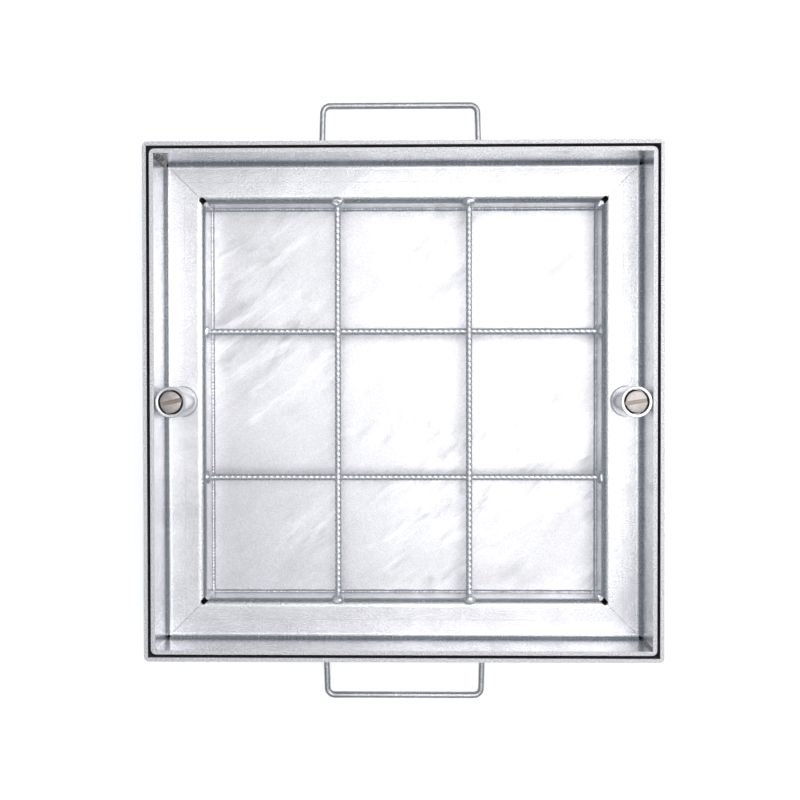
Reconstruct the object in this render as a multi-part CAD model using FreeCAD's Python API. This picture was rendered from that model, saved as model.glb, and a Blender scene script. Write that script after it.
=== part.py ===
import FreeCAD, Part
import math
import os

from FreeCAD import Vector

# Recessed access cover: a square frame set in the ground, and a lift-out steel tray that is
# filled with concrete and paving. Millimetres, +Z up, origin under the middle of the frame.

# Heights
TOTAL_HEIGHT = 100.0
LEDGE_TOP = 50.0
PLATE_UNDERSIDE = 8.0

# Frame: a folded sheet with an outer wall, an inward bearing ledge and a leg down the shaft
FRAME_WIDTH = 500.0
FRAME_SHEET = 4.0
FRAME_BEND = 3.0
LEG_INSIDE = 418.0
SEAL_HEIGHT = 5.0
SEAL_INSIDE = 432.0
SEAL_TO_WALL = 0.4
SEAL_CHAMFER = 3.1

# Tray: an upstand, a ledge and a well, folded from one strip on each side
FRAME_TO_TRAY = 3.0
TRAY_SHEET = 4.0
LEDGE_BEND = 5.0
SHOULDER_BEND = 4.0
WELL_INSIDE = 400.0
SEAM_LEG = 2.3

# Drain and bend-relief openings in the tray's corners, measured from the middle
SMALL_RELIEF_AT = 237.7
SMALL_RELIEF_DIAMETER = 3.0
OVAL_RELIEF_AT = 202.0
OVAL_RELIEF_LENGTH = 9.0
OVAL_RELIEF_WIDTH = 5.5
OVAL_RELIEF_DEPTH = 12.0

# Ground corner welds
CORNER_RADIUS = 5.0
CORNER_SEAT = 6.0

# Anchor loops of round wire, one on the north side and one on the south
WIRE_DIAMETER = 6.5
LOOP_REACH = 50.0
LOOP_FOOT_SPACING = 157.2
LOOP_CROWN_SPACING = 154.8
LOOP_BEND = 7.4
LOOP_HEIGHT = 50.0
LOOP_OFFSET = {"north": -3.0, "south": 0.5}
LOOP_WELD_RADIUS = 5.6
LOOP_WELD_LENGTH = 3.5

# Reinforcing bars across the well; the pair along Y lies on the pair along X
BAR_DIAMETER = 6.4
BAR_CLEARANCE = 0.1
UPPER_BAR_HEIGHT = 43.0
UPPER_BARS_AT_X = {"west": -66.5, "east": 66.5}
LOWER_BARS_AT_Y = {"north": 71.0, "south": -77.7}
BAR_WELD_RADIUS = 6.6

# Lifting sockets, each closed by a slotted screw plug on a sealing washer
SOCKET_AT = 223.3
SOCKET_DIAMETER = 30.0
SOCKET_EDGE = 0.5
COUNTERBORE_DIAMETER = 24.0
SOCKET_WELD_LEG = 2.0
THREAD_DIAMETER = 16.0
THREAD_CLEARANCE = 0.1
WASHER_DIAMETER = 23.0
WASHER_THICKNESS = 1.5
WASHER_CLEARANCE = 0.3
PLUG_HEAD_DIAMETER = 20.8
PLUG_HEAD_HEIGHT = 8.0
PLUG_RECESS = 0.4
PLUG_SHANK = 20.0
PLUG_EDGE = 0.6
SHANK_POINT = 1.2
SLOT_WIDTH = 4.0
SLOT_DEPTH = 3.2
SLOT_ANGLE = {"west": 13.0, "east": 9.0}

# Worked out from the above
FRAME_OUTSIDE = FRAME_WIDTH / 2
FRAME_INSIDE = FRAME_OUTSIDE - FRAME_SHEET
TRAY_OUTSIDE = FRAME_INSIDE - FRAME_TO_TRAY
WELL_HALF = WELL_INSIDE / 2
WELL_OUTSIDE = WELL_HALF + TRAY_SHEET
LEG_OUTSIDE = LEG_INSIDE / 2 + FRAME_SHEET
LEDGE_UNDERSIDE = LEDGE_TOP - TRAY_SHEET
BEARING_TOP = LEDGE_UNDERSIDE - SEAL_HEIGHT
BEARING_UNDERSIDE = BEARING_TOP - FRAME_SHEET
PLATE_TOP = PLATE_UNDERSIDE + TRAY_SHEET
WIRE_RADIUS = WIRE_DIAMETER / 2
BAR_RADIUS = BAR_DIAMETER / 2
LOWER_BAR_HEIGHT = UPPER_BAR_HEIGHT - BAR_DIAMETER - BAR_CLEARANCE
THREAD_RADIUS = THREAD_DIAMETER / 2
PLUG_TOP = TOTAL_HEIGHT - PLUG_RECESS
PLUG_SEAT = PLUG_TOP - PLUG_HEAD_HEIGHT
COUNTERBORE_FLOOR = PLUG_SEAT - WASHER_THICKNESS

SIDE_ANGLES = {"east": 0, "north": 90, "west": 180, "south": 270}
UP = Vector(0, 0, 1)
MIDDLE = Vector(0, 0, 0)


def turned(shape, angle):
    """A copy of the shape turned about the middle of the cover."""
    copy = shape.copy()
    copy.rotate(MIDDLE, UP, angle)
    return copy


def unit(vector):
    return Vector(vector).normalize()


def rounded_path(points, radius):
    """Edges along straight runs with a tangent arc of the given radius at each inner point."""
    edges = []
    start = points[0]
    for before, corner, after in zip(points, points[1:], points[2:]):
        back = unit(before - corner)
        ahead = unit(after - corner)
        half_angle = back.getAngle(ahead) / 2
        arc_start = corner + back * (radius / math.tan(half_angle))
        arc_end = corner + ahead * (radius / math.tan(half_angle))
        to_centre = unit(back + ahead)
        arc_middle = corner + to_centre * (radius / math.sin(half_angle) - radius)
        edges.append(Part.LineSegment(start, arc_start).toShape())
        edges.append(Part.Arc(arc_start, arc_middle, arc_end).toShape())
        start = arc_end
    edges.append(Part.LineSegment(start, points[-1]).toShape())
    return edges


def folded_section(path, sheet, inner_bends):
    """Cross-section, in the XZ plane, of a sheet folded square along the middle of its thickness."""
    flanks = []
    for side in (1, -1):
        directions = [unit(end - start) for start, end in zip(path, path[1:])]
        offsets = [Vector(-d.z, 0, d.x) * side * sheet / 2 for d in directions]
        edges = []
        start = path[0] + offsets[0]
        for index, inner_bend in enumerate(inner_bends):
            into = directions[index]
            onward = directions[index + 1]
            middle_bend = inner_bend + sheet / 2
            inside = onward.dot(offsets[index]) > 0
            radius = inner_bend if inside else inner_bend + sheet
            corner = path[index + 1]
            centre = corner - into * middle_bend + onward * middle_bend
            arc_start = centre - onward * radius
            arc_end = centre + into * radius
            arc_middle = centre + unit(into - onward) * radius
            edges.append(Part.LineSegment(start, arc_start).toShape())
            edges.append(Part.Arc(arc_start, arc_middle, arc_end).toShape())
            start = arc_end
        end = path[-1] + offsets[-1]
        edges.append(Part.LineSegment(start, end).toShape())
        flanks.append((path[0] + offsets[0], edges, end))
    near, far = flanks
    caps = [Part.LineSegment(near[0], far[0]).toShape(), Part.LineSegment(near[2], far[2]).toShape()]
    return Part.Face(Part.Wire(Part.__sortEdges__(near[1] + far[1] + caps)))


def polygon_section(points):
    return Part.Face(Part.makePolygon(points + points[:1]))


def mitred_side(section):
    """The section run along the east side, with both ends cut at 45 degrees."""
    reach = FRAME_WIDTH
    run = section.extrude(Vector(0, 2 * reach, 0))
    run.translate(Vector(0, -reach, 0))
    corners = [Vector(0, 0, 0), Vector(reach, -reach, 0), Vector(reach, reach, 0)]
    wedge = polygon_section(corners).extrude(Vector(0, 0, TOTAL_HEIGHT))
    return run.common(wedge)


def corner_seat(outside, low, high):
    """What is ground off the corner of a wall before it is welded, at the north-east corner."""
    size = CORNER_SEAT
    outline = polygon_section([
        Vector(outside - size, outside, low),
        Vector(outside + size, outside - 2 * size, low),
        Vector(outside + size, outside + size, low),
        Vector(outside - size, outside + size, low),
    ])
    return outline.extrude(Vector(0, 0, high - low))


def corner_weld(outside, low, high):
    """The rounded weld that fills a corner seat."""
    centre = outside - CORNER_RADIUS
    post = Part.makeCylinder(CORNER_RADIUS, high - low, Vector(centre, centre, low))
    return post.common(corner_seat(outside, low, high))


def at_all_corners(shape):
    return [turned(shape, angle) for angle in SIDE_ANGLES.values()]


def at_both_ends(shape):
    """The shape at the north-east corner, and again at the south-east corner."""
    return [shape, turned(shape, -90)]


def largest(shape):
    return max(shape.Solids, key=lambda solid: solid.Volume)


# Frame

def frame_corners():
    """Low and high end of each weld up a frame corner, with the wall's outer face."""
    wall_low = BEARING_UNDERSIDE + FRAME_BEND + FRAME_SHEET
    leg_high = BEARING_UNDERSIDE - FRAME_BEND
    return [(FRAME_OUTSIDE, wall_low, TOTAL_HEIGHT), (LEG_OUTSIDE, 1.0, leg_high)]


def frame_side():
    wall_middle = FRAME_OUTSIDE - FRAME_SHEET / 2
    bearing_middle = BEARING_TOP - FRAME_SHEET / 2
    leg_middle = LEG_OUTSIDE - FRAME_SHEET / 2
    path = [
        Vector(wall_middle, 0, TOTAL_HEIGHT),
        Vector(wall_middle, 0, bearing_middle),
        Vector(leg_middle, 0, bearing_middle),
        Vector(leg_middle, 0, 0),
    ]
    side = mitred_side(folded_section(path, FRAME_SHEET, [FRAME_BEND, FRAME_BEND]))
    for corner in frame_corners():
        side = side.cut(at_both_ends(corner_seat(*corner)))
    return side


def seal():
    outside = FRAME_INSIDE - SEAL_TO_WALL
    inside = SEAL_INSIDE / 2
    section = polygon_section([
        Vector(inside, 0, BEARING_TOP),
        Vector(outside - SEAL_CHAMFER, 0, BEARING_TOP),
        Vector(outside, 0, BEARING_TOP + SEAL_CHAMFER),
        Vector(outside, 0, LEDGE_UNDERSIDE),
        Vector(inside, 0, LEDGE_UNDERSIDE),
    ])
    east, north, west, south = at_all_corners(mitred_side(section))
    return east.fuse([north, west, south]).removeSplitter()


def anchor_loop(side):
    """Bent wire loop; its feet butt against the outer wall of the frame."""
    shift = LOOP_OFFSET[side]
    crown = FRAME_OUTSIDE + LOOP_REACH - WIRE_RADIUS
    root = FRAME_OUTSIDE - WIRE_DIAMETER
    splay = (LOOP_FOOT_SPACING - LOOP_CROWN_SPACING) / 2
    root_spacing = LOOP_FOOT_SPACING / 2 + splay * WIRE_DIAMETER / LOOP_REACH
    direction = 1 if side == "north" else -1
    points = [
        Vector(shift - root_spacing, direction * root, LOOP_HEIGHT),
        Vector(shift - LOOP_CROWN_SPACING / 2, direction * crown, LOOP_HEIGHT),
        Vector(shift + LOOP_CROWN_SPACING / 2, direction * crown, LOOP_HEIGHT),
        Vector(shift + root_spacing, direction * root, LOOP_HEIGHT),
    ]
    path = Part.Wire(rounded_path(points, LOOP_BEND))
    section = Part.Wire(Part.makeCircle(WIRE_RADIUS, points[0], unit(points[1] - points[0])))
    wire = path.makePipeShell([section], True, False)
    inside_frame = Part.makeBox(
        FRAME_WIDTH, FRAME_WIDTH, TOTAL_HEIGHT, Vector(-FRAME_OUTSIDE, -FRAME_OUTSIDE, 0))
    return largest(wire.cut(inside_frame))


def anchor_welds(loops):
    """A fillet of weld round each of the four feet."""
    welds = []
    for side, loop in loops.items():
        direction = 1 if side == "north" else -1
        for foot in (-LOOP_FOOT_SPACING / 2, LOOP_FOOT_SPACING / 2):
            place = Vector(LOOP_OFFSET[side] + foot, direction * FRAME_OUTSIDE, LOOP_HEIGHT)
            bead = Part.makeCone(
                LOOP_WELD_RADIUS, WIRE_RADIUS + 0.3, LOOP_WELD_LENGTH, place, Vector(0, direction, 0))
            welds.append(largest(bead.cut(loop)))
    return Part.makeCompound(welds)


# Tray

def tray_corners():
    """Low and high end of each weld up a tray corner, with the wall's outer face."""
    upstand_low = LEDGE_UNDERSIDE + LEDGE_BEND + TRAY_SHEET
    well_high = LEDGE_TOP - OVAL_RELIEF_DEPTH
    return [(TRAY_OUTSIDE, upstand_low, TOTAL_HEIGHT), (WELL_OUTSIDE, PLATE_UNDERSIDE, well_high)]


def small_relief():
    low = Vector(SMALL_RELIEF_AT, SMALL_RELIEF_AT, LEDGE_UNDERSIDE - TRAY_SHEET)
    return Part.makeCylinder(SMALL_RELIEF_DIAMETER / 2, 3 * TRAY_SHEET, low)


def oval_relief():
    """Slot through the shoulder, its length along the corner's diagonal."""
    radius = OVAL_RELIEF_WIDTH / 2
    straight = OVAL_RELIEF_LENGTH - OVAL_RELIEF_WIDTH
    height = OVAL_RELIEF_DEPTH + TRAY_SHEET
    low = LEDGE_TOP - OVAL_RELIEF_DEPTH
    slot = Part.makeBox(straight, OVAL_RELIEF_WIDTH, height, Vector(-straight / 2, -radius, low))
    for end in (-straight / 2, straight / 2):
        slot = slot.fuse(Part.makeCylinder(radius, height, Vector(end, 0, low)))
    slot = turned(slot.removeSplitter(), 45)
    slot.translate(Vector(OVAL_RELIEF_AT, OVAL_RELIEF_AT, 0))
    return slot


def tray_side():
    upstand_middle = TRAY_OUTSIDE - TRAY_SHEET / 2
    ledge_middle = LEDGE_TOP - TRAY_SHEET / 2
    well_middle = WELL_OUTSIDE - TRAY_SHEET / 2
    path = [
        Vector(upstand_middle, 0, TOTAL_HEIGHT),
        Vector(upstand_middle, 0, ledge_middle),
        Vector(well_middle, 0, ledge_middle),
        Vector(well_middle, 0, PLATE_UNDERSIDE),
    ]
    side = mitred_side(folded_section(path, TRAY_SHEET, [LEDGE_BEND, SHOULDER_BEND]))
    for corner in tray_corners():
        side = side.cut(at_both_ends(corner_seat(*corner)))
    side = side.cut(at_both_ends(small_relief()))
    return side.cut(at_both_ends(oval_relief()))


def tray_plate():
    return Part.makeBox(
        WELL_INSIDE, WELL_INSIDE, TRAY_SHEET, Vector(-WELL_HALF, -WELL_HALF, PLATE_UNDERSIDE))


def plate_seam_weld():
    """Fillet weld round the plate's edge, inside the well."""
    section = polygon_section([
        Vector(WELL_HALF - SEAM_LEG, 0, PLATE_TOP),
        Vector(WELL_HALF, 0, PLATE_TOP),
        Vector(WELL_HALF, 0, PLATE_TOP + SEAM_LEG),
    ])
    east, north, west, south = at_all_corners(mitred_side(section))
    return east.fuse([north, west, south]).removeSplitter()


def rebar(start, along):
    return Part.makeCylinder(BAR_RADIUS, WELL_INSIDE, start, along)


def rebars():
    bars = {}
    for side, x in UPPER_BARS_AT_X.items():
        start = Vector(x, -WELL_HALF, UPPER_BAR_HEIGHT)
        bars["upper_rebar_" + side] = rebar(start, Vector(0, 1, 0))
    for side, y in LOWER_BARS_AT_Y.items():
        start = Vector(-WELL_HALF, y, LOWER_BAR_HEIGHT)
        bars["lower_rebar_" + side] = rebar(start, Vector(1, 0, 0))
    return bars


def rebar_ends():
    """Each end of each bar: the bar's name, the side of the tray that it meets, and the place."""
    ends = []
    for side, x in UPPER_BARS_AT_X.items():
        for wall, y in (("south", -WELL_HALF), ("north", WELL_HALF)):
            ends.append(("upper_rebar_" + side, wall, Vector(x, y, UPPER_BAR_HEIGHT)))
    for side, y in LOWER_BARS_AT_Y.items():
        for wall, x in (("west", -WELL_HALF), ("east", WELL_HALF)):
            ends.append(("lower_rebar_" + side, wall, Vector(x, y, LOWER_BAR_HEIGHT)))
    return ends


def rebar_end_welds(bars, sides):
    """A lump of weld round each end of each bar, against the wall of the well."""
    lumps = []
    for bar, wall, place in rebar_ends():
        into_well = Vector(-place.x, 0, 0) if wall in ("west", "east") else Vector(0, -place.y, 0)
        lump = Part.makeSphere(BAR_WELD_RADIUS, MIDDLE, unit(into_well))
        lump.translate(place)
        lumps.append(largest(lump.cut(bars[bar]).cut(sides[wall])))
    return Part.makeCompound(lumps)


# Lifting sockets and their plugs

def turned_part(outline, at_x):
    """Solid of revolution about a vertical axis; the outline holds (radius, height) pairs."""
    points = [Vector(radius, 0, height) for radius, height in outline]
    solid = polygon_section(points).revolve(MIDDLE, UP, 360)
    solid.translate(Vector(at_x, 0, 0))
    return solid


def lifting_socket(at_x, side):
    outer = SOCKET_DIAMETER / 2
    bore = THREAD_RADIUS + THREAD_CLEARANCE
    counterbore = COUNTERBORE_DIAMETER / 2
    tube = turned_part([
        (bore, LEDGE_TOP),
        (outer, LEDGE_TOP),
        (outer, TOTAL_HEIGHT - SOCKET_EDGE),
        (outer - SOCKET_EDGE, TOTAL_HEIGHT),
        (counterbore, TOTAL_HEIGHT),
        (counterbore, COUNTERBORE_FLOOR),
        (bore, COUNTERBORE_FLOOR),
    ], at_x)
    return tube.cut(side)


def socket_weld(at_x, side):
    """Fillet weld round the foot of a socket."""
    outer = SOCKET_DIAMETER / 2
    bead = turned_part([
        (outer, LEDGE_TOP),
        (outer + SOCKET_WELD_LEG, LEDGE_TOP),
        (outer, LEDGE_TOP + SOCKET_WELD_LEG),
    ], at_x)
    return largest(bead.cut(side))


def washer(at_x):
    return turned_part([
        (THREAD_RADIUS + WASHER_CLEARANCE, COUNTERBORE_FLOOR),
        (WASHER_DIAMETER / 2, COUNTERBORE_FLOOR),
        (WASHER_DIAMETER / 2, PLUG_SEAT),
        (THREAD_RADIUS + WASHER_CLEARANCE, PLUG_SEAT),
    ], at_x)


def plug(at_x, slot_angle):
    head = PLUG_HEAD_DIAMETER / 2
    shank_end = PLUG_SEAT - PLUG_SHANK
    body = turned_part([
        (0, shank_end),
        (THREAD_RADIUS - SHANK_POINT, shank_end),
        (THREAD_RADIUS, shank_end + SHANK_POINT),
        (THREAD_RADIUS, PLUG_SEAT),
        (head, PLUG_SEAT),
        (head, PLUG_TOP - PLUG_EDGE),
        (head - PLUG_EDGE, PLUG_TOP),
        (0, PLUG_TOP),
    ], at_x)
    length = 2 * PLUG_HEAD_DIAMETER
    slot = Part.makeBox(
        length, SLOT_WIDTH, 2 * SLOT_DEPTH, Vector(-length / 2, -SLOT_WIDTH / 2, PLUG_TOP - SLOT_DEPTH))
    slot = turned(slot, slot_angle)
    slot.translate(Vector(at_x, 0, 0))
    return body.cut(slot)


def all_nodes():
    frame_sides = {side: turned(frame_side(), angle) for side, angle in SIDE_ANGLES.items()}
    tray_sides = {side: turned(tray_side(), angle) for side, angle in SIDE_ANGLES.items()}
    loops = {side: anchor_loop(side) for side in LOOP_OFFSET}
    bars = rebars()
    sockets_at = {"west": -SOCKET_AT, "east": SOCKET_AT}

    nodes = {"frame_side_" + side: shape for side, shape in frame_sides.items()}
    frame_welds = [weld for corner in frame_corners() for weld in at_all_corners(corner_weld(*corner))]
    nodes["frame_corner_welds"] = Part.makeCompound(frame_welds)
    nodes["seal"] = seal()
    nodes.update({"anchor_loop_" + side: loop for side, loop in loops.items()})
    nodes["anchor_welds"] = anchor_welds(loops)

    nodes.update({"tray_side_" + side: shape for side, shape in tray_sides.items()})
    tray_welds = [weld for corner in tray_corners() for weld in at_all_corners(corner_weld(*corner))]
    nodes["tray_corner_welds"] = Part.makeCompound(tray_welds)
    nodes["tray_plate"] = tray_plate()
    nodes["plate_seam_weld"] = plate_seam_weld()
    nodes.update(bars)
    nodes["rebar_end_welds"] = rebar_end_welds(bars, tray_sides)

    welds = [socket_weld(at_x, tray_sides[side]) for side, at_x in sockets_at.items()]
    nodes["socket_welds"] = Part.makeCompound(welds)
    for side, at_x in sockets_at.items():
        nodes["lifting_socket_" + side] = lifting_socket(at_x, tray_sides[side])
        nodes["washer_" + side] = washer(at_x)
        nodes["plug_" + side] = plug(at_x, SLOT_ANGLE[side])
    return nodes


os.makedirs("parts", exist_ok=True)
for name, shape in all_nodes().items():
    print(name, len(shape.Solids), shape.isValid(), round(shape.Volume))
    shape.exportStep("parts/" + name + ".step")
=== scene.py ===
import math
import random

import bpy
from mathutils import Matrix, Vector, noise


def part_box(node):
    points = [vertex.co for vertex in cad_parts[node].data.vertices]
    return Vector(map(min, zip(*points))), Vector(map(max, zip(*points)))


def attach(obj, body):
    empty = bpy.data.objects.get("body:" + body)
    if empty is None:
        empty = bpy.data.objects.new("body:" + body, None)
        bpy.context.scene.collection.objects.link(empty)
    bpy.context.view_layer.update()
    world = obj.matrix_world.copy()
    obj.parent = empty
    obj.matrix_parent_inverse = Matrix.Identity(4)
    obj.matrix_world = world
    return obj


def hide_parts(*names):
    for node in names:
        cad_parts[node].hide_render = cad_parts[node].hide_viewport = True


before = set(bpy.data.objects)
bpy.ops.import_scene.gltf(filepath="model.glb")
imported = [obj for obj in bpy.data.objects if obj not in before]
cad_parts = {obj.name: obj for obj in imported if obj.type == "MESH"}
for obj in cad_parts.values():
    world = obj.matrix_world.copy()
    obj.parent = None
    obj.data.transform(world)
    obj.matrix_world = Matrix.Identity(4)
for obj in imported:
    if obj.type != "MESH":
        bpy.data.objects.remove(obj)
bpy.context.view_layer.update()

MM = 0.001
random.seed(7)

# Places taken from the CAD nodes
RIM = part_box("tray_side_north")[1][2]
WELL_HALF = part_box("tray_plate")[1][0]
PLATE_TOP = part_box("tray_plate")[1][2]
TRAY_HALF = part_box("tray_side_east")[1][0]
FRAME_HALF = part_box("frame_side_east")[1][0]
LEDGE_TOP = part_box("lifting_socket_east")[0][2]
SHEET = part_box("tray_plate")[1][2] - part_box("tray_plate")[0][2]
UPSTAND_FACE = TRAY_HALF - SHEET
SMALL_RELIEF = UPSTAND_FACE - 1.3 * MM
OVAL_RELIEF = WELL_HALF + 2 * MM
PRESS_LINE = (UPSTAND_FACE + WELL_HALF) / 2 + 1.5 * MM
CORNERS = {"north_east": (1, 1), "north_west": (-1, 1), "south_west": (-1, -1), "south_east": (1, -1)}


# Small helpers

def mesh_piece(name, points, faces, material, smooth=True):
    mesh = bpy.data.meshes.new(name)
    mesh.from_pydata([tuple(point) for point in points], [], faces)
    mesh.validate()
    mesh.update()
    for polygon in mesh.polygons:
        polygon.use_smooth = smooth
    piece = bpy.data.objects.new(name, mesh)
    bpy.context.scene.collection.objects.link(piece)
    mesh.materials.append(material)
    return piece


def grid_faces(rows, columns, wrap_rows=False, wrap_columns=False):
    """Quads of a grid whose points are stored row by row."""
    faces = []
    for row in range(rows if wrap_rows else rows - 1):
        for column in range(columns if wrap_columns else columns - 1):
            below = (row + 1) % rows
            beside = (column + 1) % columns
            faces.append((
                row * columns + column,
                row * columns + beside,
                below * columns + beside,
                below * columns + column,
            ))
    return faces


def rough(place, scale, seed=0.0):
    """Smooth noise between about -1 and 1, in bumps of about 1/scale metres."""
    return noise.noise(Vector(place) * scale + Vector((seed, seed * 1.7, seed * 2.3)))


def join(name, pieces):
    """One object made of several; it keeps the first one's material."""
    points = []
    faces = []
    for piece in pieces:
        start = len(points)
        points += [vertex.co.copy() for vertex in piece.data.vertices]
        faces += [tuple(start + index for index in polygon.vertices) for polygon in piece.data.polygons]
    material = pieces[0].data.materials[0]
    for piece in pieces:
        bpy.data.objects.remove(piece)
    return mesh_piece(name, points, faces, material)


# Materials

class Nodes:
    """Builds one node tree: each method adds a node and gives back its output."""

    def __init__(self, tree):
        self.tree = tree

    def add(self, kind, inputs=None, **settings):
        node = self.tree.nodes.new(kind)
        for key, value in settings.items():
            setattr(node, key, value)
        for key, value in (inputs or {}).items():
            if isinstance(value, bpy.types.NodeSocket):
                self.tree.links.new(value, node.inputs[key])
            else:
                node.inputs[key].default_value = value
        return node

    def math(self, operation, first, second=0.0):
        return self.add("ShaderNodeMath", {0: first, 1: second}, operation=operation).outputs[0]

    def smooth(self, value, low, high, to_low=0.0, to_high=1.0):
        node = self.add(
            "ShaderNodeMapRange",
            {"Value": value, "From Min": low, "From Max": high, "To Min": to_low, "To Max": to_high},
            interpolation_type="SMOOTHSTEP")
        return node.outputs["Result"]

    def noise(self, place, scale, detail=3.0, roughness=0.5, distortion=0.0):
        node = self.add(
            "ShaderNodeTexNoise",
            {"Vector": place, "Scale": scale, "Detail": detail, "Roughness": roughness,
             "Distortion": distortion})
        return node.outputs["Fac"]

    def mapped(self, place, turn, scale):
        rotation = (0.0, 0.0, math.radians(turn))
        turned = self.add("ShaderNodeMapping", {"Vector": place, "Rotation": rotation})
        scaled = self.add("ShaderNodeMapping", {"Vector": turned.outputs[0], "Scale": scale})
        return scaled.outputs[0]

    def mix(self, amount, first, second):
        node = self.add("ShaderNodeMix", data_type="RGBA")
        for socket, value in ((0, amount), (6, first), (7, second)):
            if isinstance(value, bpy.types.NodeSocket):
                self.tree.links.new(value, node.inputs[socket])
            else:
                node.inputs[socket].default_value = value
        return node.outputs[2]

    def bump(self, height, distance, strength=1.0, onto=None):
        inputs = {"Height": height, "Distance": distance, "Strength": strength}
        if onto is not None:
            inputs["Normal"] = onto
        return self.add("ShaderNodeBump", inputs).outputs[0]


def grey(value, warmth=0.0):
    """A grey; positive warmth leans to brown, negative to blue."""
    return (value * (1 + warmth), value, value * (1 - warmth), 1.0)


def lavender(value):
    """The faintly blue and violet grey of fresh zinc."""
    return (value * 0.995, value * 0.99, value * 1.03, 1.0)


def new_material(name, metallic):
    """A new material, its node builder, its shader and the place on the object that textures use."""
    material = bpy.data.materials.new(name)
    material.use_nodes = True
    nodes = Nodes(material.node_tree)
    shader = material.node_tree.nodes["Principled BSDF"]
    shader.inputs["Metallic"].default_value = metallic
    place = nodes.add("ShaderNodeTexCoord").outputs["Object"]
    return material, nodes, shader, place


def wipe_marks(nodes, place, cloud, colour, rough_value, dark, streaks):
    """Faint dull wipes and bright brush strokes left across the zinc; gives back colour and roughness."""
    wiped = nodes.mapped(place, -42.0, (5.0, 16.0, 5.0))
    wipe = nodes.noise(wiped, 3.2, 5.0, 0.62, 0.5)
    where = nodes.smooth(nodes.noise(place, 5.5, 2.0), 0.40, 0.62)
    wipe = nodes.math("MULTIPLY", nodes.smooth(wipe, 0.48, 0.72), where)
    colour = nodes.mix(nodes.math("MULTIPLY", wipe, streaks), colour, lavender(dark * 0.86))
    brushed = nodes.noise(nodes.mapped(place, -36.0, (4.0, 22.0, 4.0)), 3.6, 5.0, 0.68, 0.3)
    brushed = nodes.math("MULTIPLY", nodes.smooth(brushed, 0.50, 0.68), nodes.smooth(cloud, 0.40, 0.60))
    colour = nodes.mix(nodes.math("MULTIPLY", brushed, streaks), colour, lavender(0.95))
    return colour, nodes.math("ADD", rough_value, nodes.math("MULTIPLY", wipe, 0.10))


def pressed_groove(nodes, parts):
    """One along the shallow line pressed round the ledge, nought elsewhere."""
    across = nodes.math("MAXIMUM", nodes.math("ABSOLUTE", parts["X"]), nodes.math("ABSOLUTE", parts["Y"]))
    off_line = nodes.math("ABSOLUTE", nodes.math("SUBTRACT", across, PRESS_LINE))
    off_ledge = nodes.math("ABSOLUTE", nodes.math("SUBTRACT", parts["Z"], LEDGE_TOP))
    on_ledge = nodes.math("LESS_THAN", off_ledge, 0.2 * MM)
    return nodes.math("MULTIPLY", nodes.smooth(off_line, 0.9 * MM, 0.1 * MM), on_ledge)


def zinc(name, dark, light, roughness, streaks=0.0, grain=1.0, shine=0.94,
         cut_edges=False, press_line=False):
    """Hot-dip galvanised steel: cloudy zinc with a fine frosted grain and, on request, wipe marks,
    mottled cut edges at the rim and the pressed line round the ledge."""
    material, nodes, shader, place = new_material(name, shine)
    cloud = nodes.noise(place, 7.0, 5.0, 0.6, 0.6)
    patch = nodes.noise(place, 38.0, 4.0, 0.65)
    frost = nodes.noise(place, 700.0, 3.0, 0.7)
    grit = nodes.noise(place, 1500.0, 2.0, 0.6)
    tone = nodes.math("ADD", nodes.math("MULTIPLY", cloud, 0.40), nodes.math("MULTIPLY", patch, 0.18))
    grainy = nodes.math("MULTIPLY", nodes.math("SUBTRACT", frost, 0.5), 0.75 * grain)
    tone = nodes.math("ADD", nodes.math("ADD", tone, 0.335), grainy)
    colour = nodes.mix(nodes.smooth(tone, 0.40, 0.84), lavender(dark), lavender(light))
    rough_value = nodes.math("ADD", nodes.math("MULTIPLY", frost, 0.16), roughness - 0.08)
    metal = nodes.smooth(patch, 0.1, 0.9, shine - 0.04, shine + 0.04)
    if streaks:
        colour, rough_value = wipe_marks(nodes, place, cloud, colour, rough_value, dark, streaks)
    height = nodes.math("ADD", frost, nodes.math("MULTIPLY", grit, 0.5))
    parts = nodes.add("ShaderNodeSeparateXYZ", {"Vector": place}).outputs
    if cut_edges:
        speckle = nodes.noise(place, 800.0, 3.0, 0.75)
        fleck = nodes.smooth(speckle, 0.42, 0.58)
        mottle = nodes.mix(fleck, (0.60, 0.58, 0.61, 1.0), (1.0, 0.99, 1.0, 1.0))
        top = nodes.math("GREATER_THAN", parts["Z"], RIM - 0.15 * MM)
        colour = nodes.mix(top, colour, mottle)
        metal = nodes.math("SUBTRACT", metal, nodes.math("MULTIPLY", top, 0.35))
        rough_value = nodes.math("ADD", rough_value, nodes.math("MULTIPLY", top, 0.12))
        raised = nodes.math("MULTIPLY", nodes.math("MULTIPLY", top, speckle), 1.5)
        height = nodes.math("ADD", height, raised)
    surface = nodes.add("ShaderNodeNewGeometry").outputs["Normal"]
    facing = nodes.add("ShaderNodeSeparateXYZ", {"Vector": surface})
    on_flat = nodes.smooth(nodes.math("ABSOLUTE", facing.outputs["Z"]), 0.3, 0.9, 0.25, 1.0)
    normal = nodes.bump(nodes.math("MULTIPLY", height, on_flat), 0.00022 * grain)
    if press_line:
        groove = pressed_groove(nodes, parts)
        # Painted shade: the colour is darkened a little along the pressed groove.
        colour = nodes.mix(nodes.math("MULTIPLY", groove, 0.12), colour, grey(dark * 0.6))
        normal = nodes.bump(nodes.math("MULTIPLY", groove, -1.0), 0.00003, 1.0, normal)
    tree = material.node_tree
    tree.links.new(colour, shader.inputs["Base Color"])
    tree.links.new(metal, shader.inputs["Metallic"])
    tree.links.new(rough_value, shader.inputs["Roughness"])
    tree.links.new(normal, shader.inputs["Normal"])
    return material


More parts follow.
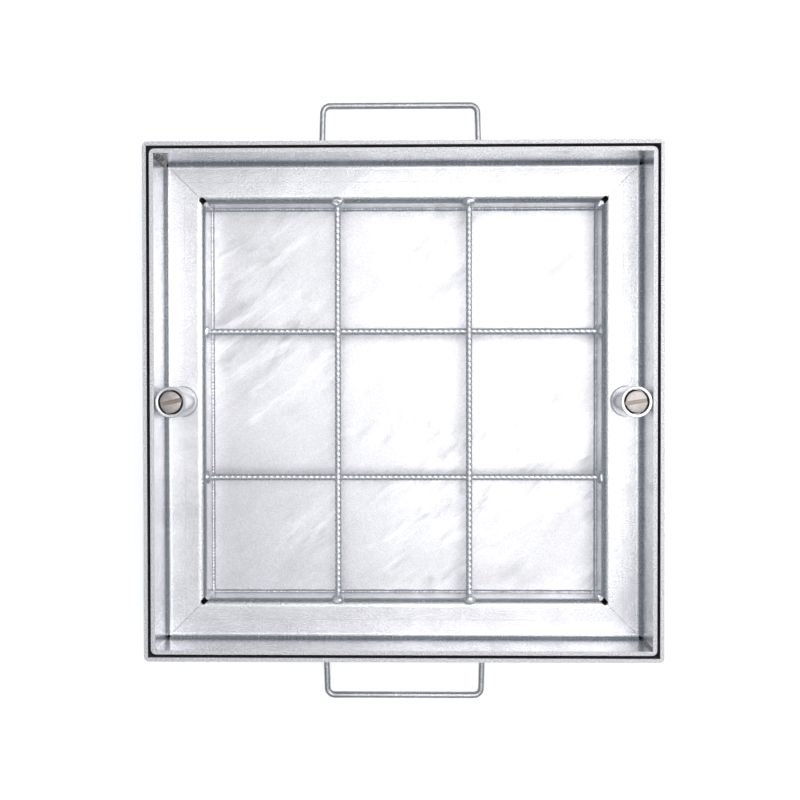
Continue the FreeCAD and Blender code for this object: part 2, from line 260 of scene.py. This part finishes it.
def dark_weld(name, dark, light, warmth):
    """Bare or thinly coated weld: dull, with fine ripples and burnt patches."""
    material, nodes, shader, place = new_material(name, 0.8)
    patch = nodes.noise(place, 260.0, 4.0, 0.7)
    fine = nodes.noise(place, 1100.0, 3.0, 0.7)
    tone = nodes.math("ADD", nodes.math("MULTIPLY", patch, 0.7), nodes.math("MULTIPLY", fine, 0.3))
    colour = nodes.mix(nodes.smooth(tone, 0.38, 0.64), grey(dark, warmth), grey(light, warmth * 0.5))
    tree = material.node_tree
    tree.links.new(colour, shader.inputs["Base Color"])
    tree.links.new(nodes.smooth(fine, 0.2, 0.8, 0.34, 0.62), shader.inputs["Roughness"])
    tree.links.new(nodes.bump(tone, 0.0004), shader.inputs["Normal"])
    return material


def rubber(name):
    """Black EPDM, a little dusty."""
    material, nodes, shader, place = new_material(name, 0.0)
    dust = nodes.noise(place, 60.0, 4.0, 0.7)
    pores = nodes.noise(place, 1400.0, 2.0, 0.6)
    shader.inputs["Specular IOR Level"].default_value = 0.2
    colour = nodes.mix(nodes.smooth(dust, 0.4, 0.75), grey(0.004), grey(0.012, 0.03))
    tree = material.node_tree
    tree.links.new(colour, shader.inputs["Base Color"])
    tree.links.new(nodes.smooth(pores, 0.2, 0.8, 0.55, 0.8), shader.inputs["Roughness"])
    tree.links.new(nodes.bump(pores, 0.00008), shader.inputs["Normal"])
    return material


def brownish(value):
    """Stainless steel that has been handled: a warm, slightly pink grey."""
    return (value * 1.08, value * 0.975, value * 0.94, 1.0)


def turned_steel(name, middle, top):
    """Stainless steel with the fine rings of a lathe tool round a vertical axis, and painted shade in the
    slot and below the head's top face.
    """
    material, nodes, shader, place = new_material(name, 1.0)
    from_axis = nodes.add("ShaderNodeVectorMath", {0: place, 1: middle}, operation="SUBTRACT").outputs[0]
    flat = nodes.add("ShaderNodeVectorMath", {0: from_axis, 1: (1.0, 1.0, 0.0)}, operation="MULTIPLY")
    radius = nodes.add("ShaderNodeVectorMath", {0: flat.outputs[0]}, operation="LENGTH").outputs["Value"]
    rings = nodes.math("SINE", nodes.math("MULTIPLY", radius, 2 * math.pi / (0.35 * MM)))
    stain = nodes.noise(place, 170.0, 4.0, 0.65)
    grit = nodes.noise(place, 1600.0, 2.0, 0.6)
    colour = nodes.mix(nodes.smooth(stain, 0.35, 0.7), brownish(0.425), brownish(0.56))
    height = nodes.math("ADD", nodes.math("MULTIPLY", rings, 0.4), grit)
    level = nodes.add("ShaderNodeSeparateXYZ", {"Vector": place}).outputs["Z"]
    # Painted shade: dark brown is mixed in from 0.7 mm below the head's top face, reaching 0.6 at 1.6 mm
    # down, so the slot floor, the head's side and the shank come out dark.
    painted_slot_shade = nodes.smooth(level, top - 0.7 * MM, top - 1.6 * MM)
    colour = nodes.mix(nodes.math("MULTIPLY", painted_slot_shade, 0.6), colour, (0.16, 0.13, 0.10, 1.0))
    tree = material.node_tree
    tree.links.new(colour, shader.inputs["Base Color"])
    tree.links.new(nodes.smooth(stain, 0.3, 0.7, 0.30, 0.44), shader.inputs["Roughness"])
    tree.links.new(nodes.bump(height, 0.00003), shader.inputs["Normal"])
    return material


STEEL = {
    "frame": zinc("frame_zinc", 0.62, 0.88, 0.30, cut_edges=True),
    "tray": zinc("tray_zinc", 0.62, 0.92, 0.25, streaks=0.12, grain=1.1, cut_edges=True, press_line=True),
    "plate": zinc("plate_zinc", 0.62, 0.85, 0.30, streaks=0.8),
    "wire": zinc("wire_zinc", 0.40, 0.74, 0.22, grain=0.9),
    "bar": zinc("bar_zinc", 0.70, 0.98, 0.26, grain=0.5, shine=0.74),
    "socket": zinc("socket_zinc", 0.62, 0.86, 0.22, grain=0.5),
    "weld": zinc("weld_zinc", 0.72, 1.0, 0.22, grain=0.5, shine=0.76),
}
DULL_WELD = dark_weld("dull_weld", 0.16, 0.80, 0.05)
COPPERY = dark_weld("coppery_spatter", 0.40, 0.80, 0.22)
BROWN_WELD = dark_weld("brown_weld", 0.28, 0.62, 0.07)
SEAM_SHADE = dark_weld("seam_shade", 0.22, 0.42, 0.0)
RUBBER = rubber("epdm_rubber")


def finish(node, material):
    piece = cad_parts[node]
    piece.data.materials.clear()
    piece.data.materials.append(material)


for side in ("north", "south", "east", "west"):
    finish("frame_side_" + side, STEEL["frame"])
    finish("tray_side_" + side, STEEL["tray"])
finish("tray_plate", STEEL["plate"])
finish("seal", RUBBER)
finish("frame_corner_welds", STEEL["frame"])
finish("tray_corner_welds", STEEL["tray"])


# Reinforcing bars with crescent ribs

BAR_CORE = 3.05 * MM
BAR_RIB = 0.7 * MM
BAR_SEAM = 0.35 * MM
RIB_PITCH = 5.75 * MM
RIB_WIDTH = 1.5 * MM
RIB_LEAN = 2.0 * MM
RING_STEP = 0.55 * MM
RING_POINTS = 20


def bar_radius(along, angle, lean):
    """Core radius, plus two rows of leaning crescent ribs and the two seams between the rows."""
    row = 0 if math.sin(angle) > 0 else 1
    crescent = abs(math.sin(angle)) ** 0.7
    shift = lean * RIB_LEAN * math.cos(angle) + row * RIB_PITCH / 2
    from_rib = (along + shift + RIB_PITCH / 2) % RIB_PITCH - RIB_PITCH / 2
    rib = math.exp(-(2 * from_rib / RIB_WIDTH) ** 2)
    seam = max(0.0, abs(math.cos(angle)) - 0.93) / 0.07
    return BAR_CORE + BAR_RIB * rib * crescent + BAR_SEAM * seam


def ribbed_bar(node, turn, lean, seed):
    low, high = (Vector(corner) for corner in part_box(node))
    middle = (low + high) / 2
    size = high - low
    axis = Vector((1, 0, 0)) if size.x > size.y else Vector((0, 1, 0))
    side = Vector((0, 0, 1)).cross(axis)
    length = max(size.x, size.y)
    rings = round(length / RING_STEP) + 1
    points = []
    for ring in range(rings):
        along = length * ring / (rings - 1)
        centre = middle + axis * (along - length / 2)
        for step in range(RING_POINTS):
            angle = 2 * math.pi * step / RING_POINTS
            radius = bar_radius(along, angle + turn, lean)
            out = side * math.cos(angle) + Vector((0, 0, 1)) * math.sin(angle)
            radius += 0.07 * MM * rough(centre + out * radius, 420.0, seed)
            points.append(centre + out * radius)
    faces = grid_faces(rings, RING_POINTS, wrap_columns=True)
    faces.append(tuple(range(RING_POINTS))[::-1])
    faces.append(tuple((rings - 1) * RING_POINTS + step for step in range(RING_POINTS)))
    bar = mesh_piece("ribbed_" + node, points, faces, STEEL["bar"])
    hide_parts(node)
    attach(bar, "tray")


# How far each bar is turned about its own axis, in radians, and which way its ribs lean
BAR_TURNS = {
    "upper_rebar_west": (0.35, 1),
    "upper_rebar_east": (-0.45, 1),
    "lower_rebar_north": (0.15, -1),
    "lower_rebar_south": (-0.25, -1),
}
for number, (bar_name, (bar_turn, bar_lean)) in enumerate(BAR_TURNS.items()):
    ribbed_bar(bar_name, bar_turn, bar_lean, number * 3.1)


# Lumps of weld

def lump(name, centre, size, material, seed, dent=0.0, dent_from=Vector((0, 0, 1))):
    """A rounded, uneven blob with an optional crater; size is its half-extents."""
    rows, columns = 26, 36
    points = []
    for row in range(rows):
        polar = math.pi * row / (rows - 1)
        for column in range(columns):
            turn = 2 * math.pi * column / columns
            level = Vector((math.cos(turn), math.sin(turn), 0))
            out = level * math.sin(polar) + Vector((0, 0, math.cos(polar)))
            on_ball = out * min(size)
            swell = 1 + 0.20 * rough(on_ball, 230.0, seed) + 0.06 * rough(on_ball, 900.0, seed)
            if dent:
                facing = max(0.0, out.dot(dent_from.normalized()))
                swell -= dent * math.exp(-((1 - facing) / 0.10) ** 2)
                swell += dent * 0.35 * math.exp(-((1 - facing - 0.22) / 0.10) ** 2)
            reach = Vector((out.x * size[0], out.y * size[1], out.z * size[2]))
            points.append(Vector(centre) + reach * swell)
    return mesh_piece(name, points, grid_faces(rows, columns, wrap_columns=True), material)


def bar_end_lumps():
    lumps = []
    seed = 1.0
    for node in BAR_TURNS:
        low, high = (Vector(corner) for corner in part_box(node))
        middle = (low + high) / 2
        along_x = high.x - low.x > high.y - low.y
        for end in (-1, 1):
            seed += 2.7
            reach = end * (WELL_HALF + 1.4 * MM)
            centre = Vector((reach, middle.y, middle.z)) if along_x else Vector((middle.x, reach, middle.z))
            spread = random.uniform(0.92, 1.1) * 7.0 * MM
            size = (5.4 * MM, spread, 6.0 * MM) if along_x else (spread, 5.4 * MM, 6.0 * MM)
            dent_from = Vector((random.uniform(-0.5, 0.5), random.uniform(-0.5, 0.5), 1.0))
            dent = random.uniform(0.12, 0.3)
            lumps.append(lump("lump", centre, size, STEEL["weld"], seed, dent, dent_from))
            shoulder = centre + Vector((0, 0, 4.6 * MM))
            cap = (5.0 * MM, 6.6 * MM, 4.2 * MM) if along_x else (6.6 * MM, 5.0 * MM, 4.2 * MM)
            lumps.append(lump("lump", shoulder, cap, STEEL["weld"], seed + 0.9, 0.1, dent_from))
    piece = join("bar_end_lumps", lumps)
    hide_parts("rebar_end_welds")
    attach(piece, "tray")


bar_end_lumps()


# Weld beads run along a line

def bead(name, start, end, across, up, width, height, material, seed,
         ripple=2.6 * MM, sink=0.4 * MM, taper=0.0):
    """A rippled bead from start to end; across and up are the two directions of its section."""
    start, end, across, up = (Vector(value) for value in (start, end, across, up))
    length = (end - start).length
    rows = max(6, round(length / (0.6 * MM)))
    columns = 11
    points = []
    for row in range(rows + 1):
        share = row / rows
        centre = start.lerp(end, share)
        along = length * share
        swell = 1 + 0.22 * rough(centre, 160.0, seed) + 0.10 * rough(centre, 520.0, seed)
        if taper:
            swell *= min(1.0, (min(share, 1 - share) / taper) ** 0.5 + 0.05)
        for column in range(columns):
            angle = math.pi * column / (columns - 1)
            # The ripples of a weld pool trail behind its middle
            trail = along + 0.9 * MM * math.sin(angle)
            wave = 1 + 0.12 * math.cos(2 * math.pi * trail / ripple)
            side = -math.cos(angle) * width * 0.5 * swell
            rise = (math.sin(angle) ** 0.8) * height * swell * wave - sink
            wander = 0.35 * MM * rough(centre + across * side, 330.0, seed + 4)
            points.append(centre + across * (side + wander) + up * rise)
    faces = grid_faces(rows + 1, columns)
    faces.append(tuple(range(columns)))
    faces.append(tuple(rows * columns + column for column in range(columns))[::-1])
    return mesh_piece(name, points, faces, material)


def plate_seam():
    """The fillet round the plate, with the ripples and wandering edge of a hand-run weld."""
    beads = []
    place = WELL_HALF - 0.7 * MM
    for number, angle in enumerate((0, 90, 180, 270)):
        turn = Matrix.Rotation(math.radians(angle), 3, "Z")
        start = turn @ Vector((place, -WELL_HALF, PLATE_TOP + 0.7 * MM))
        end = turn @ Vector((place, WELL_HALF, PLATE_TOP + 0.7 * MM))
        across = turn @ Vector((1, 0, 1)).normalized()
        up = turn @ Vector((-1, 0, 1)).normalized()
        beads.append(bead(
            "seam", start, end, across, up, 4.0 * MM, 1.3 * MM, STEEL["weld"], 20 + number * 5,
            ripple=3.4 * MM, sink=0.3 * MM))
    piece = join("plate_seam_bead", beads)
    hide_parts("plate_seam_weld")
    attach(piece, "tray")


plate_seam()


def trim(piece, body):
    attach(piece, body)


def ledge_mitres():
    """The thin line where two folded sides meet on the ledge, from one relief hole to the next."""
    for corner, (x, y) in CORNERS.items():
        diagonal = Vector((x, y, 0))
        start = diagonal * (OVAL_RELIEF + 3.2 * MM) + Vector((0, 0, LEDGE_TOP))
        end = diagonal * (SMALL_RELIEF - 1.2 * MM) + Vector((0, 0, LEDGE_TOP))
        across = Vector((-y, x, 0)).normalized()
        line = bead("mitre_line_" + corner, start, end, across, (0, 0, 1), 0.42 * MM, 0.18 * MM,
                    SEAM_SHADE, 60 + x + 2 * y, ripple=1.4 * MM, sink=0.10 * MM)
        trim(line, "tray")


ledge_mitres()


def upstand_corner_welds():
    """Weld run down the inside of each corner of the upstand, each with its own look."""
    # Material, width and height in millimetres, and the share of the length that tapers off
    looks = {
        "north_west": (DULL_WELD, 8.0, 3.4, 0.03),
        "north_east": (STEEL["weld"], 2.6, 0.9, 0.06),
        "south_west": (STEEL["weld"], 3.4, 1.2, 0.06),
        "south_east": (BROWN_WELD, 6.0, 2.0, 0.06),
    }
    for corner, (x, y) in CORNERS.items():
        material, width, height, taper = looks[corner]
        inward = Vector((-x, -y, 0)).normalized()
        foot = Vector((x, y, 0)) * (UPSTAND_FACE - 0.6 * MM)
        start = foot + Vector((0, 0, LEDGE_TOP + 13.0 * MM))
        end = foot + Vector((0, 0, RIM - 1.5 * MM))
        across = Vector((-y, x, 0)).normalized()
        piece = bead("corner_bead_" + corner, start, end, across, inward, width * MM, height * MM,
                     material, 80 + 3 * x + y, ripple=2.2 * MM, sink=0.8 * MM, taper=taper)
        trim(piece, "tray")


upstand_corner_welds()


def spatter(name, middle, reach, count, size, material, seed):
    """Small drops of zinc or weld metal scattered on a surface around a place."""
    drops = []
    for number in range(count):
        spread = Vector((random.gauss(0, reach.x), random.gauss(0, reach.y), random.gauss(0, reach.z)))
        grown = size * random.uniform(0.6, 1.5)
        drops.append(lump("drop", middle + spread, (grown, grown, grown * 0.4), material, seed + number))
    trim(join(name, drops), "tray")


SOUTH_WEST_DROPS = Vector((-206 * MM, -218 * MM, LEDGE_TOP))
NORTH_WEST_DROPS = Vector((-UPSTAND_FACE + 3.5 * MM, UPSTAND_FACE - 2.5 * MM, LEDGE_TOP + 20 * MM))
spatter("spatter_south_west", SOUTH_WEST_DROPS, Vector((5 * MM, 4.5 * MM, 0)), 16,
        0.7 * MM, STEEL["weld"], 120.0)
spatter("spatter_north_west", NORTH_WEST_DROPS, Vector((1.2 * MM, 1.0 * MM, 3 * MM)), 9,
        1.0 * MM, COPPERY, 150.0)


def well_corner_nubs():
    """The top end of the weld up each corner of the well, just below the oval hole."""
    for corner, (x, y) in CORNERS.items():
        top = Vector((x, y, 0)) * (WELL_HALF - 1.2 * MM) + Vector((0, 0, LEDGE_TOP - 15 * MM))
        nub = lump("corner_nub_" + corner, top, (2.1 * MM, 2.1 * MM, 3.4 * MM), STEEL["weld"],
                   90 + 2 * x + y, 0.15)
        trim(nub, "tray")
        low = Vector((x, y, 0)) * (WELL_HALF - 0.5 * MM) + Vector((0, 0, PLATE_TOP + 1 * MM))
        across = Vector((-y, x, 0)).normalized()
        inward = Vector((-x, -y, 0)).normalized()
        run = bead("well_corner_bead_" + corner, low, top, across, inward, 3.6 * MM, 1.3 * MM,
                   STEEL["weld"], 96 + x + 3 * y, ripple=2.4 * MM, sink=0.5 * MM)
        trim(run, "tray")


well_corner_nubs()


# Lifting sockets: drawn tube with a faced top, and its fillet weld

def lathe(name, outline, centre, material, steps=128, wobble=0.0, seed=0.0):
    """Solid of revolution about a vertical axis; the outline is a closed run of (radius, height)."""
    points = []
    for step in range(steps):
        turn = 2 * math.pi * step / steps
        out = Vector((math.cos(turn), math.sin(turn), 0))
        for radius, height in outline:
            place = Vector(centre) + out * radius + Vector((0, 0, height))
            shift = wobble * rough(place, 300.0, seed) if wobble else 0.0
            points.append(place + out * shift)
    faces = grid_faces(steps, len(outline), wrap_rows=True, wrap_columns=True)
    return mesh_piece(name, points, [face[::-1] for face in faces], material)


def crisp(piece, angle=32.0):
    """Smooth round its curves but sharp at its edges."""
    piece.data.set_sharp_from_angle(angle=math.radians(angle))


def socket(side):
    low, high = (Vector(corner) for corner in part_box("lifting_socket_" + side))
    centre = (low + high) / 2
    outer = (high.x - low.x) / 2
    washer_low, washer_high = (Vector(corner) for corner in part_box("washer_" + side))
    counterbore = (washer_high.x - washer_low.x) / 2 + 0.5 * MM
    edge = 0.5 * MM
    bore = 8.1 * MM
    foot = low.z + 1.2 * MM
    axis = (centre.x, centre.y, 0)
    tube = lathe("socket_tube_" + side, [
        (outer, foot),
        (outer, high.z - 3 * edge),
        (outer - 0.15 * edge, high.z - edge),
        (outer - 0.4 * edge, high.z - 0.4 * edge),
        (outer - edge, high.z),
        (counterbore + edge, high.z),
        (counterbore + 0.3 * edge, high.z - 0.3 * edge),
        (counterbore, high.z - edge),
        (counterbore, washer_low.z),
        (bore, washer_low.z),
        (bore, foot),
    ], axis, STEEL["socket"], wobble=0.10 * MM, seed=centre.x * 40)
    crisp(tube)
    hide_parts("lifting_socket_" + side)
    trim(tube, "tray")
    return Vector(axis), outer, low.z


def fillet_ring(name, centre, radius, leg, height, material, seed):
    """A ring of weld round a tube's foot."""
    ripple = 2.8 * MM
    steps, columns = 180, 9
    points = []
    for step in range(steps):
        turn = 2 * math.pi * step / steps
        out = Vector((math.cos(turn), math.sin(turn), 0))
        swell = 1 + 0.25 * rough(out * radius, 210.0, seed)
        for column in range(columns):
            share = column / (columns - 1)
            trail = turn * radius + 0.8 * MM * math.sin(math.pi * share)
            wave = 1 + 0.10 * math.cos(2 * math.pi * trail / ripple)
            bulge = 1 + 0.22 * math.sin(math.pi * share) * wave
            side = (leg * share) * swell * bulge - 0.2 * MM
            rise = (height * (1 - share)) * swell * bulge - 0.1 * MM
            points.append(Vector(centre) + out * (radius + side) + Vector((0, 0, rise)))
    return mesh_piece(name, points, grid_faces(steps, columns, wrap_rows=True), material)


rings = []
for side in ("west", "east"):
    axis, outer, foot = socket(side)
    rings.append(fillet_ring(
        "ring", axis + Vector((0, 0, foot)), outer, 0.9 * MM, 1.8 * MM, STEEL["weld"], 30 + axis.x * 20))
socket_rings = join("socket_foot_welds", rings)
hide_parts("socket_welds")
trim(socket_rings, "tray")

SLOT_ANGLE = {"west": 13.0, "east": 9.0}
SLOT_WIDTH = 4.0 * MM
SLOT_DEPTH = 3.0 * MM
SHANK_RADIUS = 8.0 * MM
THREAD_PITCH = 2.0 * MM
THREAD_DEPTH = 0.9 * MM


def slot_cutter(centre, top, angle):
    """A block longer than the head is wide, used to cut the plug's driving slot."""
    half = Vector((20 * MM, SLOT_WIDTH / 2, SLOT_DEPTH))
    turn = Matrix.Rotation(math.radians(angle), 3, "Z")
    points = []
    for z in (-1, 1):
        for x, y in ((-1, -1), (1, -1), (1, 1), (-1, 1)):
            corner = Vector((x * half.x, y * half.y, z * half.z))
            points.append(Vector((centre.x, centre.y, top)) + turn @ corner)
    faces = [(3, 2, 1, 0), (4, 5, 6, 7), (0, 1, 5, 4), (1, 2, 6, 5), (2, 3, 7, 6), (3, 0, 4, 7)]
    return mesh_piece("slot_cutter", points, faces, STEEL["socket"], smooth=False)


def cut_with(piece, cutter):
    """Takes the cutter out of the piece for good, and removes the cutter."""
    modifier = piece.modifiers.new("slot", "BOOLEAN")
    modifier.operation = "DIFFERENCE"
    modifier.solver = "EXACT"
    modifier.object = cutter
    bpy.context.view_layer.update()
    cut = bpy.data.meshes.new_from_object(piece.evaluated_get(bpy.context.evaluated_depsgraph_get()))
    piece.modifiers.clear()
    piece.data = cut
    bpy.data.objects.remove(cutter)


def plug_head(side, low, high, seat):
    """The head: a turned disc with a broken edge and a milled slot."""
    centre = (low + high) / 2
    radius = (high.x - low.x) / 2
    edge = 0.45 * MM
    head = lathe("plug_head_" + side, [
        (0.2 * MM, seat),
        (radius - 0.2 * MM, seat),
        (radius, seat + 0.2 * MM),
        (radius, high.z - edge),
        (radius - 0.35 * edge, high.z - 0.3 * edge),
        (radius - edge, high.z),
        (0.2 * MM, high.z),
    ], (centre.x, centre.y, 0), turned_steel("plug_steel_" + side, (centre.x, centre.y, 0.0), high.z))
    cut_with(head, slot_cutter(centre, high.z, SLOT_ANGLE[side]))
    crisp(head, 28.0)
    return head


def plug_shank(side, low, high, seat, material):
    """The threaded shank, with a helical groove all the way down."""
    centre = (low + high) / 2
    columns, rows = 72, 150
    points = []
    for row in range(rows + 1):
        height = low.z + (seat + 0.5 * MM - low.z) * row / rows
        for column in range(columns):
            turn = 2 * math.pi * column / columns
            phase = (height / THREAD_PITCH - column / columns) % 1.0
            groove = THREAD_DEPTH * (1 - abs(2 * phase - 1))
            point_taper = max(0.0, 1.2 * MM - (height - low.z))
            reach = SHANK_RADIUS - max(groove, point_taper)
            out = Vector((math.cos(turn), math.sin(turn), 0)) * reach
            points.append(Vector((centre.x, centre.y, height)) + out)
    faces = grid_faces(rows + 1, columns, wrap_columns=True)
    faces.append(tuple(range(columns))[::-1])
    shank = mesh_piece("plug_shank_" + side, points, faces, material)
    crisp(shank, 40.0)
    return shank


for side in ("west", "east"):
    low, high = (Vector(corner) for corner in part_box("plug_" + side))
    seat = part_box("washer_" + side)[1][2]
    head = plug_head(side, low, high, seat)
    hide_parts("plug_" + side)
    trim(head, "plug_" + side)
    trim(plug_shank(side, low, high, seat, head.data.materials[0]), "plug_" + side)
    finish("washer_" + side, RUBBER)


# Anchor loops

def loop_frame(node, radius):
    """The loop's box and its middle, the wall it stands on, and the line of its far side."""
    low, high = (Vector(corner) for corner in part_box(node))
    middle = (low + high) / 2
    north = middle.y > 0
    wall = FRAME_HALF if north else -FRAME_HALF
    crown = (high.y - radius) if north else (low.y + radius)
    return low, high, middle, wall, crown


WIRE_BEND = 7.4 * MM
FOOT_SPLAY = 1.1 * MM


def anchor_loop(side, seed):
    node = "anchor_loop_" + side
    radius = (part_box(node)[1][2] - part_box(node)[0][2]) / 2
    low, high, middle, wall, crown = loop_frame(node, radius)
    foot_half = (high.x - low.x) / 2 - radius
    crown_half = foot_half - FOOT_SPLAY
    way = 1 if crown > 0 else -1
    line = [Vector((-foot_half, wall - way * 1.5 * MM, middle.z))]
    bend_start = crown - way * WIRE_BEND
    for step in range(31):
        share = step / 30
        line.append(Vector((-foot_half + FOOT_SPLAY * share, wall + (bend_start - wall) * share, middle.z)))
    for step in range(1, 15):
        angle = math.pi / 2 * step / 15
        line.append(Vector((
            -crown_half + WIRE_BEND * (1 - math.cos(angle)),
            crown - way * WIRE_BEND * (1 - math.sin(angle)),
            middle.z)))
    half_crown = crown_half - WIRE_BEND
    line += [Vector((-half_crown * (1 - step / 50), crown, middle.z)) for step in range(51)]
    line += [Vector((-point.x, point.y, point.z)) for point in line[-2::-1]]
    columns = 24
    points = []
    for number, centre in enumerate(line):
        ahead = line[min(number + 1, len(line) - 1)] - line[max(number - 1, 0)]
        out = ahead.normalized().cross(Vector((0, 0, 1)))
        place = centre + Vector((middle.x, 0, 0))
        for column in range(columns):
            angle = 2 * math.pi * column / columns
            away = out * math.cos(angle) + Vector((0, 0, 1)) * math.sin(angle)
            skin = radius * 1.05 + 0.10 * MM * rough(place + away * radius, 240.0, seed)
            points.append(place + away * skin)
    faces = grid_faces(len(line), columns, wrap_columns=True)
    faces.append(tuple(range(columns))[::-1])
    faces.append(tuple((len(line) - 1) * columns + column for column in range(columns)))
    wire = mesh_piece("wire_" + node, points, faces, STEEL["wire"])
    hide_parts(node)
    trim(wire, "frame")
    feet = []
    for foot in (-foot_half, foot_half):
        centre = (middle.x + foot, wall + way * 0.6 * MM, middle.z)
        feet.append(lump("foot", centre, (5.4 * MM, 3.0 * MM, 5.4 * MM), STEEL["weld"], seed + foot * 50))
    return feet


foot_lumps = anchor_loop("north", 3.0) + anchor_loop("south", 9.0)
foot_welds = join("anchor_foot_welds", foot_lumps)
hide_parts("anchor_welds")
trim(foot_welds, "frame")


# Floor, light and camera

FLOOR_GLOW = 0.50
FLOOR_HALF = 40.0


def floor():
    material, nodes, shader, place = new_material("pale_floor", 0.0)
    tone = nodes.noise(place, 3.0, 2.0)
    colour = nodes.mix(tone, grey(0.93), grey(0.97))
    material.node_tree.links.new(colour, shader.inputs["Base Color"])
    shader.inputs["Roughness"].default_value = 0.9
    parts = nodes.add("ShaderNodeSeparateXYZ", {"Vector": place}).outputs
    across = nodes.math("MAXIMUM", nodes.math("ABSOLUTE", parts["X"]), nodes.math("ABSOLUTE", parts["Y"]))
    glow = nodes.smooth(across, FRAME_HALF - 4 * MM, FRAME_HALF, 0.0, FLOOR_GLOW)
    shader.inputs["Emission Color"].default_value = grey(1.0)
    material.node_tree.links.new(glow, shader.inputs["Emission Strength"])
    corners = [(x * FLOOR_HALF, y * FLOOR_HALF, 0) for x, y in ((-1, -1), (1, -1), (1, 1), (-1, 1))]
    mesh_piece("floor", corners, [(0, 1, 2, 3)], material, smooth=False)


def area_light(name, place, aim, size, power):
    light = bpy.data.lights.new(name, "AREA")
    light.shape = "RECTANGLE"
    light.size, light.size_y = size
    light.energy = power
    lamp = bpy.data.objects.new(name, light)
    lamp.location = place
    lamp.rotation_euler = (Vector(aim) - Vector(place)).to_track_quat("-Z", "Y").to_euler()
    bpy.context.scene.collection.objects.link(lamp)


def studio_world():
    """A pale studio: bright overhead, falling to a cool dark grey towards the horizon."""
    world = bpy.data.worlds.new("studio")
    world.use_nodes = True
    nodes = Nodes(world.node_tree)
    way = nodes.add("ShaderNodeTexCoord").outputs["Generated"]
    lean = nodes.add("ShaderNodeVectorMath", {0: way, 1: (0.14, 0.08, 1.0)}, operation="DOT_PRODUCT")
    strength = nodes.smooth(lean.outputs["Value"], 0.40, 1.0, 0.20, 0.84)
    height = nodes.smooth(lean.outputs["Value"], 0.40, 0.95)
    tint = nodes.mix(height, (0.76, 0.92, 1.0, 1.0), grey(0.99, -0.005))
    background = world.node_tree.nodes["Background"]
    world.node_tree.links.new(tint, background.inputs["Color"])
    world.node_tree.links.new(strength, background.inputs["Strength"])
    bpy.context.scene.world = world


def camera():
    """Almost straight above the cover, a little over a metre up."""
    data = bpy.data.cameras.new("camera")
    data.lens = 44.3
    data.sensor_width = 36.0
    view = bpy.data.objects.new("camera", data)
    view.location = (0.0117, 0.0139, 1.0418)
    view.rotation_euler = (math.radians(-0.724), math.radians(0.874), math.radians(-0.071))
    bpy.context.scene.collection.objects.link(view)
    bpy.context.scene.camera = view


floor()
studio_world()
area_light("softbox", (0.64, 0.26, 1.75), (0.10, 0.0, 0.0), (1.25, 2.0), 11.5)
camera()
bpy.context.scene.view_settings.view_transform = "Standard"
